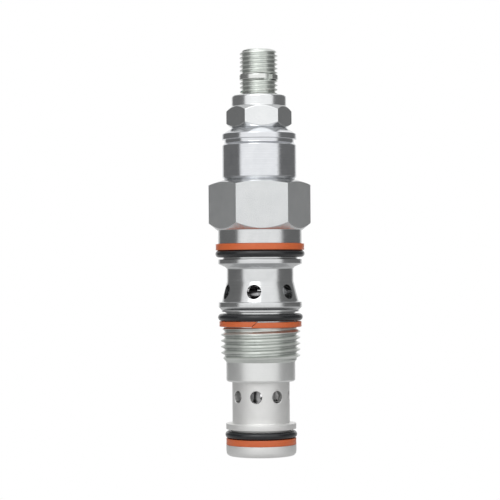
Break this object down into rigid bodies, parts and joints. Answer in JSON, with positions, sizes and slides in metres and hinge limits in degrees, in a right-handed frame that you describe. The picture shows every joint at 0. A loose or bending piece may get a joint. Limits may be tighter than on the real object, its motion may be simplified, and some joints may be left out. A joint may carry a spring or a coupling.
{
  "type": "cartridge valve",
  "caption": "Screw-in hydraulic cartridge valve: hexagon body with stepped, sealed shank, ported sleeve with spool, spring housing and lockable screw adjuster.",
  "frame": {"origin": "on the valve's axis in the plane of the hexagon's underside, which seats on the manifold", "axes": "+Z along the valve from the nose towards the adjusting screw; -Y towards the flat of the hexagon that faces the front"},
  "size_m": [0.0256, 0.0228, 0.1018],
  "materials": {
    "body_zinc": "bright zinc plate on turned steel",
    "housing_zinc": "bright zinc plate on turned steel",
    "nut_zinc": "bright zinc plate on a pressed nut",
    "screw_zinc": "zinc plate on a rolled thread",
    "sleeve_steel": "satin ground steel, unplated",
    "turned_steel": "ground steel",
    "spring_steel": "oiled spring wire",
    "ring_steel": "spring steel",
    "seal_rubber": "smooth black nitrile",
    "backup_orange": "smooth orange polyester",
    "nylon": "natural nylon"
  },
  "bodies": {
    "valve": {"hex_body": "body_zinc", "spring_housing": "housing_zinc", "housing_o_ring": "seal_rubber", "main_spring": "spring_steel", "sleeve": "sleeve_steel", "sleeve_retaining_ring": "ring_steel", "sleeve_o_ring": "seal_rubber", "sleeve_backup_ring": "backup_orange", "spool_stop_ring": "ring_steel", "upper_o_ring": "seal_rubber", "upper_backup_ring": "backup_orange", "middle_o_ring": "seal_rubber", "middle_backup_ring": "backup_orange", "nose_o_ring": "seal_rubber", "nose_backup_ring": "backup_orange"},
    "guide": {"upper_spring_guide": "turned_steel"},
    "screw": {"adjusting_screw": "screw_zinc", "screw_o_ring": "seal_rubber", "screw_backup_ring": "backup_orange", "screw_snap_ring": "ring_steel"},
    "insert": {"locknut_insert": "nylon"},
    "nut": {"locknut": "nut_zinc"},
    "spool_set": {"spool": "turned_steel", "damping_orifice": "turned_steel", "lower_spring_guide": "turned_steel"}
  },
  "joints": [
    {"name": "screw_advance", "type": "slide", "parent": "valve", "child": "guide", "axis": [0, 0, 1], "range_m": [-0.00318, 0.00185], "deforming": ["main_spring"]},
    {"name": "screw_turn", "type": "hinge", "parent": "guide", "child": "screw", "pos_m": [0, 0, 0.02], "axis": [0, 0, 1], "range_deg": [-1080, 630]},
    {"name": "nut_advance", "type": "slide", "parent": "valve", "child": "insert", "axis": [0, 0, 1], "range_m": [0, 0.00053]},
    {"name": "nut_turn", "type": "hinge", "parent": "insert", "child": "nut", "pos_m": [0, 0, 0.03], "axis": [0, 0, 1], "range_deg": [0, 180]},
    {"name": "spool_shift", "type": "slide", "parent": "valve", "child": "spool_set", "axis": [0, 0, 1], "range_m": [0, 0.0042], "stiffness_N_per_m": 9200, "deforming": ["main_spring"]}
  ],
  "couplings": [
    {"joint": "screw_advance", "follows": "screw_turn", "m_per_rad": 0.00016844},
    {"joint": "nut_advance", "follows": "nut_turn", "m_per_rad": 0.00016844}
  ]
}
